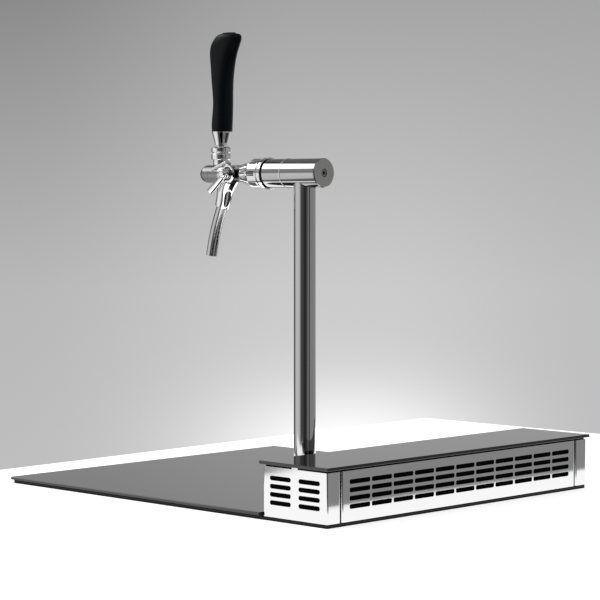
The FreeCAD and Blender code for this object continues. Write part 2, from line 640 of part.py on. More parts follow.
def head_end_cap():
    inner, outer = "(head_diameter / 2 - head_wall)", "head_diameter / 2"
    face = "-head_back - cap_thick"
    sink = "(cap_screw_head / 2 + 0.3)"
    seat = "-head_back + cap_plug / 2"
    turned("head_end_cap", [
        (sink, face), (f"{outer} - edge_round", face), (outer, f"{face} + edge_round"),
        (outer, "-head_back"),
        (inner, "-head_back"), (inner, "-head_back + cap_plug"),
        ("cap_screw_diameter / 2 + fit", "-head_back + cap_plug"), ("cap_screw_diameter / 2 + fit", seat),
        (sink, seat)])
    head_low = f"{face} + cap_screw_sink"
    screw = turned("end_cap_screw", [
        ("0", head_low), ("cap_screw_head / 2 - 0.5", head_low), ("cap_screw_head / 2", f"{head_low} + 0.5"),
        ("cap_screw_head / 2", seat), ("cap_screw_diameter / 2", seat),
        ("cap_screw_diameter / 2", "-core_back + 8"),
        ("0", "-core_back + 8")])
    key = new_sketch(screw, "HexKey", lift=head_low)
    corners = [(cos(pi / 3 * i) / cos(pi / 6) / 2, sin(pi / 3 * i) / cos(pi / 6) / 2) for i in range(6)]
    draw_loop(key, [(f"{across:.6f} * cap_screw_key", f"{along:.6f} * cap_screw_key") for across,
                    along in corners])
    cut_both_ways(screw, "HexSocket", key, "cap_screw_key + 1")


def head_core():
    inner = "(head_diameter / 2 - head_wall)"
    spigot_radius = "(column_diameter / 2 - column_wall - fit)"
    length = "core_back + core_front"
    block = cylinder(inner, length, (COLUMN_X, f"{COLUMN_Y} + core_back", "head_height"), FORWARDS)
    screw_hole = cylinder("cap_screw_diameter / 2", "8",
                          (COLUMN_X, f"{COLUMN_Y} + core_back", "head_height"), FORWARDS)
    channel = cylinder("line_bore / 2", "core_front", (COLUMN_X, COLUMN_Y, "head_height"), FORWARDS)
    shank_seat = cylinder("shank_tail / 2", "core_front / 2",
                          (COLUMN_X, f"{COLUMN_Y} - core_front / 2", "head_height"), FORWARDS)
    spigot_seat = cylinder(spigot_radius, f"{inner} - core_seat",
                           (COLUMN_X, COLUMN_Y, f"head_height - {inner}"))
    riser = cylinder("line_bore / 2", "core_seat", (COLUMN_X, COLUMN_Y, "head_height - core_seat"))
    keep(without(block, screw_hole, channel, shank_seat, spigot_seat, riser), "head_core")
    turned("head_spigot", [
        ("line_diameter / 2 + line_gap", "-core_seat - spigot_length"),
        (spigot_radius, "-core_seat - spigot_length"),
        (spigot_radius, "-core_seat"), ("line_diameter / 2 + line_gap", "-core_seat"),
    ], HEAD, Rotation())


def tap_shank():
    inner = "(head_diameter / 2 - head_wall)"
    start = "core_front / 2"
    collar = "head_front - shank_flange"
    nose = "head_front + shank_nose"
    turned("tap_shank", [
        ("line_bore / 2", start), ("shank_tail / 2", start), ("shank_tail / 2", "core_front"),
        ("shank_diameter / 2", "core_front"), ("shank_diameter / 2", collar), (inner, collar),
        (inner, "head_front"), ("shank_thread / 2", "head_front"), ("shank_thread / 2", nose),
        ("line_bore / 2 + 2.5", nose), ("line_bore / 2 + 2.5", f"{nose} - 10"),
        ("line_bore / 2", f"{nose} - 12")])
    turned("head_ring", [
        ("shank_thread / 2 + fit", "head_front"), ("head_diameter / 2 - ring_step", "head_front"),
        ("head_diameter / 2 - ring_step", "head_front + ring_thick"),
        ("shank_thread / 2 + fit", "head_front + ring_thick")])


# Coupling nut that draws the tap onto the head: flange, fluted grip, shoulder and cone
def coupling_nut():
    start = "(head_front + ring_thick)"
    rim = f"({start} + nut_cylinder)"
    shoulder = f"({rim} + nut_shoulder)"
    end = f"{shoulder} + nut_cone"
    flange = "(head_front + shank_nose + gasket_thick)"
    taper = f"{start} + nut_flange_thick"
    body = turned("coupling_nut", [
        ("shank_thread / 2 + fit", start), ("nut_flange / 2 - 0.5", start),
        ("nut_flange / 2", f"{start} + 0.5"),
        ("nut_flange / 2", taper), ("nut_diameter / 2", f"{taper} + nut_taper"), ("nut_diameter / 2", rim),
        ("nut_shoulder_size / 2", shoulder), ("nut_small / 2", end),
        ("barrel_diameter / 2 + 0.3", end), ("barrel_diameter / 2 + 0.3", f"{flange} + barrel_flange_thick"),
        ("barrel_flange / 2 + 0.2", f"{flange} + barrel_flange_thick"), ("barrel_flange / 2 + 0.2", flange),
        ("shank_thread / 2 + fit", flange)])
    round_edges(body, "NutRim", "edge_round", lambda edge: rim_at(edge, size.head_front + size.ring_thick
                                                                  + size.nut_cylinder))
    flute = new_sketch(body, "FluteOutline", lift=f"flute_start + ({shoulder} + 4 - flute_start) / 2")
    draw_circle(flute, "flute_diameter", "nut_diameter / 2")
    first = cut_both_ways(body, "FirstFlute", flute, f"{shoulder} + 4 - flute_start")
    ring = body.newObject("PartDesign::PolarPattern", "Flutes")
    ring.Originals = [first]
    upright = [feature for feature in body.Origin.OriginFeatures if feature.Role == "Z_Axis"][0]
    ring.Axis = (upright, [""])
    ring.Angle = 360
    bind(ring, Occurrences="notches")
    body.Tip = ring
    turned("tap_gasket", [
        ("line_bore / 2 + 2.5", "head_front + shank_nose"),
        ("shank_thread / 2 - fit", "head_front + shank_nose"),
        ("shank_thread / 2 - fit", flange), ("line_bore / 2 + 2.5", flange)])


def rim_at(edge, height):
    """Whether an edge is the round rim that a turned piece has at a height along its axis."""
    bounds = edge.BoundBox
    return abs(bounds.Center.z - height) < 0.01 and bounds.ZLength < 0.01


# Tap body: barrel, flange, neck, side boss and the slanting spout socket, then its bores
def tap_body():
    start = "head_front + shank_nose + gasket_thick"
    radius = "barrel_diameter / 2"
    along = lambda text: (COLUMN_X, f"{COLUMN_Y} - ({text})", "head_height")
    barrel = cylinder(radius, f"barrel_end - ({start})", along(start), FORWARDS)
    flange = cylinder("barrel_flange / 2", "barrel_flange_thick", along(start), FORWARDS)
    neck = cylinder("ball_diameter / 2 + ball_play + neck_wall", "neck_height",
                    (COLUMN_X, HINGE_Y, "head_height"))
    boss = cylinder("side_boss / 2", "side_face", (COLUMN_X, SIDE_Y, "head_height"), SIDEWAYS)
    tilt = Rotation(Vector(1, 0, 0), 180 - size.spout_tilt)
    root = (COLUMN_X, f"{COLUMN_Y} - spout_root", "head_height")
    shell = spout_socket(root, tilt)
    solid = joined(barrel, flange, neck, boss, shell)
    rear = cylinder("chamber_diameter / 2", f"piston_start - ({start})", along(start), FORWARDS)
    throat = cylinder("piston_bore / 2", "piston_end - piston_start", along("piston_start"), FORWARDS)
    front = cylinder("front_bore / 2", "barrel_end - piston_end", along("piston_end"), FORWARDS)
    well = cylinder("ball_diameter / 2 + ball_play", "neck_height - 4",
                    (COLUMN_X, HINGE_Y, "head_height + 4"))
    side_hole = cylinder("side_shaft / 2 + fit", "side_face", (COLUMN_X, SIDE_Y, "head_height"), SIDEWAYS)
    depth = "(gland_thick + side_seal_thick)"
    gland_seat = cylinder("side_shaft / 2 + gland_width", depth,
                          (f"{COLUMN_X} + side_face - {depth}", SIDE_Y, "head_height"), SIDEWAYS)
    reach = "(outlet_drop / cos(spout_tilt * 1 deg))"
    drop = cylinder("spout_bore / 2", "outlet_drop",
                    (COLUMN_X, f"{COLUMN_Y} - spout_root - sin(spout_tilt * 1 deg) * {reach}",
                     "head_height - outlet_drop"))
    outlet = cylinder("spout_bore / 2", "socket_length + 4", root, tilt)
    outlet.setExpression("Placement.Base.y", tied(
        f"{COLUMN_Y} - spout_root - sin(spout_tilt * 1 deg) * ({reach} - 2)"))
    outlet.setExpression("Placement.Base.z", tied(f"head_height - cos(spout_tilt * 1 deg) * ({reach} - 2)"))
    seat = cylinder("spout_diameter / 2", "spout_seat + 8", root, tilt)
    seat.setExpression("Placement.Base.y", tied(
        f"{COLUMN_Y} - spout_root - sin(spout_tilt * 1 deg) * (socket_drop + socket_length - spout_seat)"))
    seat.setExpression("Placement.Base.z", tied(
        "head_height - cos(spout_tilt * 1 deg) * (socket_drop + socket_length - spout_seat)"))
    keep(without(solid, rear, throat, front, well, side_hole, gland_seat, drop, outlet, seat),
         "tap_body")


def spout_socket(root, tilt):
    """The funnel that leaves the barrel: a long oval at the top, a round at the mouth."""
    top = doc.addObject("Part::Ellipse", "SocketTop")
    bind(top, MajorRadius="socket_top_long / 2", MinorRadius="socket_top_wide / 2")
    put(top, (COLUMN_X, f"{COLUMN_Y} - spout_root - 3", "head_height - 4"), Rotation(Vector(0, 0, 1), 90))
    funnel = doc.addObject("Part::Loft", "Socket")
    rings = [top]
    for share, swell, shift in ((0.16, 1.26, 4.1), (0.52, 1.12, 2.3), (1.0, 1.0, 0)):
        ring = doc.addObject("Part::Circle", "SocketRing")
        bind(ring, Radius=f"socket_bottom * {swell} / 2")
        put(ring, root, tilt)
        reach = f"(socket_drop + socket_length * {share})"
        ring.setExpression("Placement.Base.y", tied(
            f"{COLUMN_Y} - spout_root - sin(spout_tilt * 1 deg) * {reach} - {shift}"))
        ring.setExpression("Placement.Base.z", tied(f"head_height - cos(spout_tilt * 1 deg) * {reach}"))
        rings.append(ring)
    funnel.Sections = rings
    funnel.Solid = True
    return funnel


# Domed plug that closes the front of the barrel and guides the valve stem's tail
def front_plug():
    start = "barrel_end"
    body = turned("front_plug", [
        ("tail_diameter / 2 + fit", f"{start} - 2.2"), ("front_bore / 2 - fit", f"{start} - 2.2"),
        ("front_bore / 2 - fit", start), ("barrel_diameter / 2 - seam_gap", start),
        ("barrel_diameter / 2", f"{start} + seam_gap"), ("barrel_diameter / 2", f"{start} + dome_length"),
        ("0", f"{start} + dome_length"), ("0", f"{start} + 11.5"),
        ("tail_diameter / 2 + fit", f"{start} + 11.5")])
    tip = size.barrel_end + size.dome_length
    round_edges(body, "Dome", "dome_round", level_at(tip))


# Spout: a bent tube pressed into the socket
def spout():
    tilt = Rotation(Vector(1, 0, 0), 180 - size.spout_tilt)
    body = new_body("spout", (COLUMN_X, "0", "0"), tilt)
    reach = "(socket_drop + socket_length - spout_seat)"
    body.setExpression("Placement.Base.y",
                       tied(f"{COLUMN_Y} - spout_root - sin(spout_tilt * 1 deg) * {reach}"))
    body.setExpression("Placement.Base.z", tied(f"head_height - cos(spout_tilt * 1 deg) * {reach}"))
    ring = new_sketch(body, "SpoutRing")
    draw_circle(ring, "spout_diameter")
    draw_circle(ring, "spout_bore")
    path = new_sketch(body, "SpoutPath", "YZ_Plane")
    long, radius, sweep = size.spout_straight, size.spout_bend, size.spout_sweep * pi / 180
    path.addGeometry(Part.LineSegment(Vector(0, 0, 0), Vector(0, long, 0)), False)
    circle = Part.Circle(Vector(-radius, long, 0), Vector(0, 0, 1), radius)
    path.addGeometry(Part.ArcOfCircle(circle, 0, sweep), False)
    path.addConstraint(Sketcher.Constraint("Coincident", 0, 1, -1, 1))
    path.addConstraint(Sketcher.Constraint("Vertical", 0))
    path.addConstraint(Sketcher.Constraint("Tangent", 0, 2, 1, 1))
    for kind, geometry, number, text in (("DistanceY", 0, long, "spout_straight"),
                                         ("Radius", 1, radius, "spout_bend"),
                                         ("Angle", 1, sweep, "spout_sweep * 1 deg")):
        index = path.addConstraint(Sketcher.Constraint(kind, geometry, number))
        path.setExpression(f"Constraints[{index}]", tied(text))
    pipe = body.newObject("PartDesign::AdditivePipe", "SpoutPipe")
    pipe.Profile = ring
    pipe.Spine = (path, ["Edge1", "Edge2"])


# Bonnet: a collar on the neck and a ball-topped nut on it, which hold the lever's ball on its seat
def bonnet():
    low = "neck_height - pivot_height"
    top = f"({low} + collar_height)"
    nut_low = f"({top} + collar_gap)"
    outer = "collar_diameter / 2"
    ball_bore = "ball_diameter / 2 + fit"
    collar = turned("bonnet_collar", [
        (ball_bore, low), (outer, low), (outer, top), ("ball_diameter / 2 - 0.9", top),
        ("ball_diameter / 2 - 0.55", f"{low} + 6.4"), (ball_bore, f"{low} + 4")], HINGE, Rotation())
    low_z = size.neck_height - size.pivot_height
    wide = size.collar_diameter - 0.1
    round_edges(collar, "CollarFoot", "collar_round", level_at(low_z, wide))
    round_edges(collar, "CollarTop", "collar_round", level_at(low_z + size.collar_height, wide))
    nut = turned("nut_blank", [
        ("ball_diameter / 2 - 0.9", top), (f"{outer} - 2.4", top), (f"{outer} - 2.4", nut_low),
        (outer, nut_low),
        (outer, "bonnet_top"), ("bonnet_mouth", "bonnet_top"), ("bonnet_mouth", "bonnet_top * 0.8")],
        HINGE, Rotation())
    nodes.remove(nut)
    round_edges(nut, "NutFoot", "collar_round", level_at(low_z + size.collar_height + size.collar_gap, wide))
    dome = doc.addObject("Part::MultiCommon", "BonnetNut")
    dome.Shapes = [nut, ball("bonnet_top", HINGE)]
    keep(dome, "bonnet_nut")
    turned("ball_seat", [
        ("ball_diameter / 2 - 1.7", "-ball_diameter / 2"),
        ("ball_diameter / 2 + ball_play", "-ball_diameter / 2"),
        ("ball_diameter / 2 + ball_play", "-ball_diameter / 2 + seat_height"),
        ("ball_diameter / 2 - 1.3", "-ball_diameter / 2 + seat_height")], HINGE, Rotation())


# Lever: ball, threaded stem above it and the finger that moves the valve stem
def tap_lever():
    sphere = ball("ball_diameter / 2", HINGE)
    stem = cylinder("stem_diameter / 2", "stem_height", HINGE)
    finger = cylinder("finger_diameter / 2", "finger_length",
                      (COLUMN_X, HINGE_Y, f"{HINGE_Z} - finger_length"))
    tip = ball("finger_tip / 2", (COLUMN_X, HINGE_Y, f"{HINGE_Z} - finger_length"))
    keep(joined(sphere, stem, finger, tip), "tap_lever")


# Ferrule: a chromed cone under the grip, hollowed below to run over the ball-topped nut
def ferrule():
    low = "(ferrule_low - pivot_height - 3)"
    top = "(ferrule_low - pivot_height + ferrule_height)"
    blank = turned("ferrule_blank", [
        ("stem_diameter / 2", low), ("ferrule_small / 2 - 0.2", low),
        ("ferrule_small / 2 + 0.3", f"{low} + 5"),
        ("ferrule_large / 2 - 0.4", f"{top} - 1.5"), ("ferrule_large / 2 - 0.4", top),
        ("stem_diameter / 2", top)], HINGE, Rotation())
    nodes.remove(blank)
    keep(without(blank, ball("bonnet_top + cup_gap", HINGE)), "ferrule")


# Handle: moulded grip lofted through ovals, with a threaded hole for the stem
def handle():
    sections = []
    for height, shift, deep, wide in HANDLE_SECTIONS:
        oval = doc.addObject("Part::Ellipse", "GripOval")
        oval.MajorRadius = deep
        oval.MinorRadius = wide
        level = f"head_height + ferrule_low + ferrule_height + {height}"
        put(oval, (COLUMN_X, f"{HINGE_Y} + {shift}", level), Rotation(Vector(0, 0, 1), 90))
        sections.append(oval)
    grip = doc.addObject("Part::Loft", "Grip")
    grip.Sections = sections
    grip.Solid = True
    grip.MaxDegree = 3
    bore = cylinder("stem_diameter / 2", "stem_height", HINGE)
    keep(without(grip, bore), "handle")


# Valve stem: piston that closes the throat, rod, slotted spool for the finger, and a guided tail
def valve_stem():
    groove = "(piston_start + 0.5 + piston_length / 2)"
    front = "(piston_start + 0.5 + piston_length)"
    body = turned("valve_stem", [
        ("0", "piston_start + 0.5"), ("piston_bore / 2 - fit - 0.5", "piston_start + 0.5"),
        ("piston_bore / 2 - fit", "piston_start + 1"),
        ("piston_bore / 2 - fit", f"{groove} - oring_thick / 2"),
        ("piston_bore / 2 - oring_thick", f"{groove} - oring_thick / 2"),
        ("piston_bore / 2 - oring_thick", f"{groove} + oring_thick / 2"),
        ("piston_bore / 2 - fit", f"{groove} + oring_thick / 2"), ("piston_bore / 2 - fit", front),
        ("rod_diameter / 2", front), ("rod_diameter / 2", "spool_start"),
        ("front_bore / 2 - fit", "spool_start"), ("front_bore / 2 - fit", "spool_end"),
        ("tail_diameter / 2", "spool_end"), ("tail_diameter / 2", "tail_end"), ("0", "tail_end")])
    notch = new_sketch(body, "FingerSlot", "YZ_Plane")
    half = "(finger_tip / 2 + slot_play)"
    floor = "(pivot_height - finger_length - finger_tip / 2 - slot_play)"
    draw_rectangle(notch, floor, f"pivot_reach - {half}", "front_bore", f"pivot_reach + {half}")
    cut_both_ways(body, "FingerNotch", notch, "finger_tip + 2 * slot_play")
    ring = doc.addObject("Part::Torus", "PistonRing")
    bind(ring, Radius1="piston_bore / 2 - oring_thick / 2 - 0.02", Radius2="oring_thick / 2 - 0.02")
    keep(put(ring, (COLUMN_X, f"{COLUMN_Y} - {groove}", "head_height"), FORWARDS), "piston_ring")


# Flow control: a tapered plug in the barrel's rear chamber, moved by an off-centre pin on the side shaft
def flow_control():
    cone = turned("flow_cone", [
        ("0", "cone_start"), ("cone_small / 2", "cone_start"),
        ("cone_large / 2", "cone_start + cone_length - 3"), ("cone_large / 2", "cone_start + cone_length"),
        ("0", "cone_start + cone_length")])
    arm = new_sketch(cone, "ArmOutline", "YZ_Plane", lift="arm_inner")
    draw_rectangle(arm, "-pin_offset - 1.2", "cone_start + cone_length - 3", "pin_offset + 1.2", "arm_end")
    pad(cone, "Arm", arm, "arm_outer - arm_inner")
    notch = new_sketch(cone, "PinSlot", "YZ_Plane", lift="(arm_inner + arm_outer) / 2")
    draw_rectangle(notch, "pin_offset / 2 - pin_diameter / 2", "side_reach - pin_diameter / 2 - 0.25",
                   "cone_large", "side_reach + pin_diameter / 2 + 0.25")
    cut_both_ways(cone, "PinNotch", notch, "2 * (arm_outer - arm_inner)")
    shaft_start = "arm_outer + 0.4"
    shaft = cylinder("side_shaft / 2", f"hub_boss_end - ({shaft_start})",
                     (f"{COLUMN_X} + {shaft_start}", SIDE_Y, "head_height"), SIDEWAYS)
    pin = cylinder("pin_diameter / 2", "arm_outer - arm_inner + 0.6",
                   (f"{COLUMN_X} + arm_inner", SIDE_Y, "head_height + pin_offset"), SIDEWAYS)
    keep(joined(shaft, pin), "side_shaft")
    for label, low, high in (("side_gland", "side_face - gland_thick", "side_face"),
                             ("side_seal", "side_face - gland_thick - side_seal_thick",
                              "side_face - gland_thick")):
        turned(label, [("side_shaft / 2 + fit", low), ("side_shaft / 2 + gland_width", low),
                       ("side_shaft / 2 + gland_width", high), ("side_shaft / 2 + fit", high)],
               (COLUMN_X, SIDE_Y, "head_height"), SIDEWAYS)


# Flow lever: round hub with a flaring arm from its middle and a bent rod from its rim
def flow_lever():
    axis = (COLUMN_X, SIDE_Y, "head_height")
    start = "side_face + hub_gap"
    rim = "hub_diameter / 2"
    hub = turned("hub", [
        ("side_shaft / 2", start), (f"{rim} - 1", start), (rim, f"{start} + 1"),
        (rim, f"{start} + hub_thick - 1.4"),
        (f"{rim} - 1.4", f"{start} + hub_thick"), ("hub_boss / 2", f"{start} + hub_thick"),
        ("hub_boss / 2", "hub_boss_end - 0.8"), ("hub_boss / 2 - 0.8", "hub_boss_end"),
        ("side_shaft / 2", "hub_boss_end")], axis, SIDEWAYS)
    # The own Z axis of an arm points forwards and then down by its angle.
    arm = turned("arm", [
        ("0", "side_shaft / 2 + 0.5"), ("prong_root / 2", "side_shaft / 2 + 0.5"),
        ("prong_tip / 2", "prong_length - 0.8"), ("prong_tip / 2 - 0.8", "prong_length"),
        ("0", "prong_length")],
        (f"{COLUMN_X} + {start} + hub_thick + prong_root / 2 + 0.4", SIDE_Y, "head_height"),
        Rotation(Vector(1, 0, 0), 90 + size.prong_angle))
    nodes.remove(hub)
    nodes.remove(arm)
    radius = "short_diameter / 2"

    def beside(along, out):
        """The Y and Z of a point given along the rod and out from the shaft."""
        angle = "(short_angle * 1 deg)"
        return (f"{SIDE_Y} - cos{angle} * ({along}) - sin{angle} * ({out})",
                f"head_height - sin{angle} * ({along}) + cos{angle} * ({out})")
    base = (f"{COLUMN_X} + short_reach", *beside("-short_start", "short_offset"))
    far = (f"{COLUMN_X} + short_reach", *beside("short_end", "short_offset"))
    peg_y, peg_z = beside("-short_start", f"{rim} - 0.4")
    rod = cylinder(radius, "short_start + short_end", base, Rotation(Vector(1, 0, 0), 90 + size.short_angle))
    peg = cylinder(radius, f"short_reach - ({start}) - 1", (f"{COLUMN_X} + {start} + 1", peg_y, peg_z),
                   SIDEWAYS)
    ends = [ball(radius, base), ball(radius, far), ball(radius, (f"{COLUMN_X} + short_reach", peg_y, peg_z))]
    keep(joined(hub, arm, rod, peg, *ends), "flow_lever")
    cap = turned("flow_cap", [
        ("0", "hub_boss_end"), ("side_cap / 2", "hub_boss_end"),
        ("side_cap / 2", "hub_boss_end + side_cap_thick"),
        ("0", "hub_boss_end + side_cap_thick")], axis, SIDEWAYS)
    tip = size.hub_boss_end + size.side_cap_thick
    round_edges(cap, "CapDome", "side_cap_thick - 0.3", level_at(tip))


worktop_seal()
base_plate()
glass_bedding()
box_seal()
lower_glass()
junction_bead()
end_cap("end_cap_right", 1)
end_cap("end_cap_left", -1)
long_wall("rear_grille", BACK, -1, True)
long_wall("front_panel", FRONT, 1, False)
filter_mats()
box_screws()
cover_gasket()
cover_glass()
column_foot()
column_tube()
beer_line()
head_tubes()
head_end_cap()
head_core()
tap_shank()
coupling_nut()
tap_body()
front_plug()
spout()
bonnet()
tap_lever()
ferrule()
handle()
valve_stem()
flow_control()
flow_lever()
doc.recompute()

faults = [obj.Name for obj in doc.Objects if "Invalid" in obj.State or "Error" in obj.State]
faults += [piece.Label for piece in nodes if piece.Shape.isNull() or not piece.Shape.isValid()]
if faults:
    raise SystemExit("failed: " + ", ".join(faults))

os.makedirs("parts", exist_ok=True)
for piece in nodes:
    piece.Shape.exportStep(os.path.join("parts", piece.Label + ".step"))
print(len(nodes), "pieces written")
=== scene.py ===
import math

import bpy
from mathutils import Matrix, Vector

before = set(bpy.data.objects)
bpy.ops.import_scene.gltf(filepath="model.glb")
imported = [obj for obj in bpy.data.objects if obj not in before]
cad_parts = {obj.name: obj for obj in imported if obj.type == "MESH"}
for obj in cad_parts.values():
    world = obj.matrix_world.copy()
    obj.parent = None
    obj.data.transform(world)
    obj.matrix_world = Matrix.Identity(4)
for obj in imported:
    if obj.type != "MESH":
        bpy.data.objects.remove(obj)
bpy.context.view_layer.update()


# Camera
# A long lens at the photograph's height, looking down on the corner of the vent box by under three degrees.
# Its place, in metres, and its aim were fitted to the edges of the two glass sheets and the vent box.
CAMERA_PLACE = (2.1083, 2.0546, 0.3961)
CAMERA_AIM = (-0.7162, -0.6962, -0.0483)
LENS_MM = 129.9
FILM_MM = 36.0

look = Vector(CAMERA_AIM).normalized()
right = look.cross(Vector((0, 0, 1))).normalized()
lens = bpy.data.cameras.new("long_lens")
lens.lens = LENS_MM
lens.sensor_width = FILM_MM
lens.clip_end = 60.0
camera = bpy.data.objects.new("camera", lens)
bpy.context.collection.objects.link(camera)
turn = Matrix((right, right.cross(look), -look)).transposed()
camera.matrix_world = Matrix.Translation(CAMERA_PLACE) @ turn.to_4x4()
bpy.context.scene.camera = camera
bpy.context.scene.view_settings.view_transform = "Standard"


# Studio table
# A matt white table top whose far corner stands behind the unit. Polished metal sees only the part that
# lies near the unit, as in a dark room, and a dark card that lies beside the plate.
class Link:
    """A shader socket that can stand in a Python sum: each operator adds the Math node that works it out."""

    def __init__(self, tree, socket):
        self.tree = tree
        self.socket = socket

    def math(self, operation, *others):
        """A Math node on this value and up to two others."""
        return self.tree.node("ShaderNodeMath", {"operation": operation}, dict(enumerate((self, *others))))

    def __add__(self, other):
        return self.math("ADD", other)

    def __radd__(self, other):
        return self.math("ADD", other)

    def __sub__(self, other):
        return self.math("SUBTRACT", other)

    def __rsub__(self, other):
        return self.tree.node("ShaderNodeMath", {"operation": "SUBTRACT"}, {0: other, 1: self})

    def __mul__(self, other):
        return self.math("MULTIPLY", other)

    def __rmul__(self, other):
        return self.math("MULTIPLY", other)

    def __truediv__(self, other):
        return self.math("DIVIDE", other)

    def __abs__(self):
        return self.math("ABSOLUTE")

    def limit(self):
        """The value held between 0 and 1."""
        return self.math("MAXIMUM", 0.0).math("MINIMUM", 1.0)

    def step(self, low, high):
        """0 below low, 1 above high and a smooth S between them; where low lies above high, 1 turns to 0."""
        if low > high:
            return 1 - self.step(high, low)
        settings = {"interpolation_type": "SMOOTHSTEP"}
        return self.tree.node("ShaderNodeMapRange", settings, {0: self, 1: low, 2: high, 3: 0.0, 4: 1.0})

    def between(self, low, full_from, full_to, high):
        """0 up to low, 1 from full_from to full_to and 0 again past high, with a smooth S on each side."""
        return self.step(low, full_from) * self.step(high, full_to)

    def around(self, middle, width, flat=0.0):
        """1 within flat of the middle, falling smoothly to 0 at a distance of width."""
        return abs(self - middle).step(width, flat)


class Tree:
    """A node tree being filled: node() adds one node from its type, its settings and its sockets' inputs."""

    def __init__(self, owner):
        owner.use_nodes = True
        self.nodes = owner.node_tree.nodes
        self.links = owner.node_tree.links
        self.nodes.clear()

    def node(self, kind, settings=None, inputs=None, output=0):
        """One node; each input is a plain value or the Link that feeds it."""
        made = self.nodes.new(kind)
        for name, value in (settings or {}).items():
            setattr(made, name, value)
        for name, value in (inputs or {}).items():
            if isinstance(value, Link):
                self.links.new(value.socket, made.inputs[name])
            else:
                made.inputs[name].default_value = value
        return Link(self, made.outputs[output]) if len(made.outputs) else made

    def axes(self, source="Object"):
        """The X, Y and Z of a texture coordinate: east, north and up, in metres."""
        place = self.node("ShaderNodeTexCoord", output=source)
        return [self.node("ShaderNodeSeparateXYZ", inputs={0: place}, output=i) for i in range(3)]

    def rays(self):
        """1 on rays from the camera, and 1 on rays that polished metal or glass sends on."""
        names = ("Is Camera Ray", "Is Glossy Ray")
        return [self.node("ShaderNodeLightPath", output=name) for name in names]

    def mix(self, factor, first, second):
        """The colour first where the factor is 0 and second where it is 1."""
        def colour(value):
            return value if isinstance(value, Link) else (*value, 1.0)

        sockets = {0: factor, 6: colour(first), 7: colour(second)}
        return self.node("ShaderNodeMix", {"data_type": "RGBA"}, sockets, output=2)

    def noise(self, scale, detail=2.0, stretch=(1, 1, 1)):
        """Soft noise from 0 to 1 on Object coordinates, squeezed along each axis by stretch."""
        place = self.node("ShaderNodeTexCoord", output="Object")
        place = self.node("ShaderNodeMapping", inputs={"Vector": place, "Scale": stretch})
        return self.node("ShaderNodeTexNoise", inputs={"Vector": place, "Scale": scale, "Detail": detail})

    def out(self, shader, kind="ShaderNodeOutputMaterial"):
        """Send the shader to the surface."""
        self.node(kind, inputs={"Surface": shader})


TABLE_CORNERS = [(-0.801, -0.463, 0), (1.6, -0.367, 0), (2.6, 2.6, 0), (-0.856, 2.6, 0)]
TABLE_WHITE = (0.86, 0.86, 0.86, 1)
PLAIN_WHITE = (1, 1, 1, 1)
TABLE_GLOW = 0.45
TABLE_IN_MIRRORS = 1.5
CARD_IN_MIRRORS = 0.2

table_mesh = bpy.data.meshes.new("table")
table_mesh.from_pydata(TABLE_CORNERS, [], [(0, 1, 2, 3)])
table = bpy.data.objects.new("table", table_mesh)
bpy.context.collection.objects.link(table)
table_paint = bpy.data.materials.new("matt_white_table")
paint = Tree(table_paint)
seen, glossy = paint.rays()
east, north, up = paint.axes()
near = north.step(0.424, 0.418) * east.step(0.90, 0.82)
card = east.between(0.30, 0.34, 0.62, 0.66) * north.between(-0.44, -0.40, -0.14, -0.10)
mirrored_level = TABLE_IN_MIRRORS - (TABLE_IN_MIRRORS - CARD_IN_MIRRORS) * card
body = paint.node("ShaderNodeBsdfDiffuse", inputs={"Color": TABLE_WHITE})
glow = paint.node("ShaderNodeEmission", inputs={"Color": PLAIN_WHITE, "Strength": TABLE_GLOW})
lit = paint.node("ShaderNodeAddShader", inputs={0: body, 1: glow})
mirrored = paint.node("ShaderNodeEmission", inputs={"Color": PLAIN_WHITE, "Strength": mirrored_level})
sheet = paint.node("ShaderNodeMixShader", inputs={0: seen, 1: body, 2: lit})
sheet = paint.node("ShaderNodeMixShader", inputs={0: glossy, 1: sheet, 2: mirrored})
clear = paint.node("ShaderNodeBsdfTransparent")
hidden = glossy * (1 - near)
paint.out(paint.node("ShaderNodeMixShader", inputs={0: hidden, 1: sheet, 2: clear}))
table.data.materials.append(table_paint)


# Studio room
# A grey wall that grows paler towards the table, and for polished metal the soft boxes and dark screens that
# stand round the table. The angle is counted clockwise from the middle of the wall and the height up from
# the level, both in degrees. A brightness of 1 is white.
PLAIN_LEVEL = 0.75
SCREEN_LEVEL = 0.08
SIDE_BOX_LEVEL = 0.74
RIGHT_BOX_LEVEL = 0.26
STRIP_LEVEL = 0.22
HIGH_BOX_LEVEL = 2.2
REAR_BOX_LEVEL = 0.12
TO_DEGREES = 180 / math.pi

world = bpy.data.worlds.new("studio")
bpy.context.scene.world = world
room = Tree(world)
seen, glossy = room.rays()
east, north, up = room.axes("Generated")
ahead = east * look.x + north * look.y
aside = east * right.x + north * right.y
angle = aside.math("ARCTAN2", ahead) * TO_DEGREES
height = up.math("ARCSINE") * TO_DEGREES

# The wall as the camera sees it: paler downwards, darker on the left, with a round glow low in the middle.
low = (-2.5 - height).math("MAXIMUM", 0.0)
wall = 0.376 + 0.0295 * (5.1 - height) - 0.0215 * low - 0.12 * angle.step(0.5, -8.0)
wall = wall - 0.0098 * (5.0 - height) * angle.step(2.0, 8.0)
halo = ((angle - 1.3) * (angle - 1.3) / 12.0 + (height + 6.9) * (height + 6.9) / 3.0) * -1.0
wall = (wall + 0.43 * halo.math("EXPONENT")).math("MAXIMUM", 0.02)

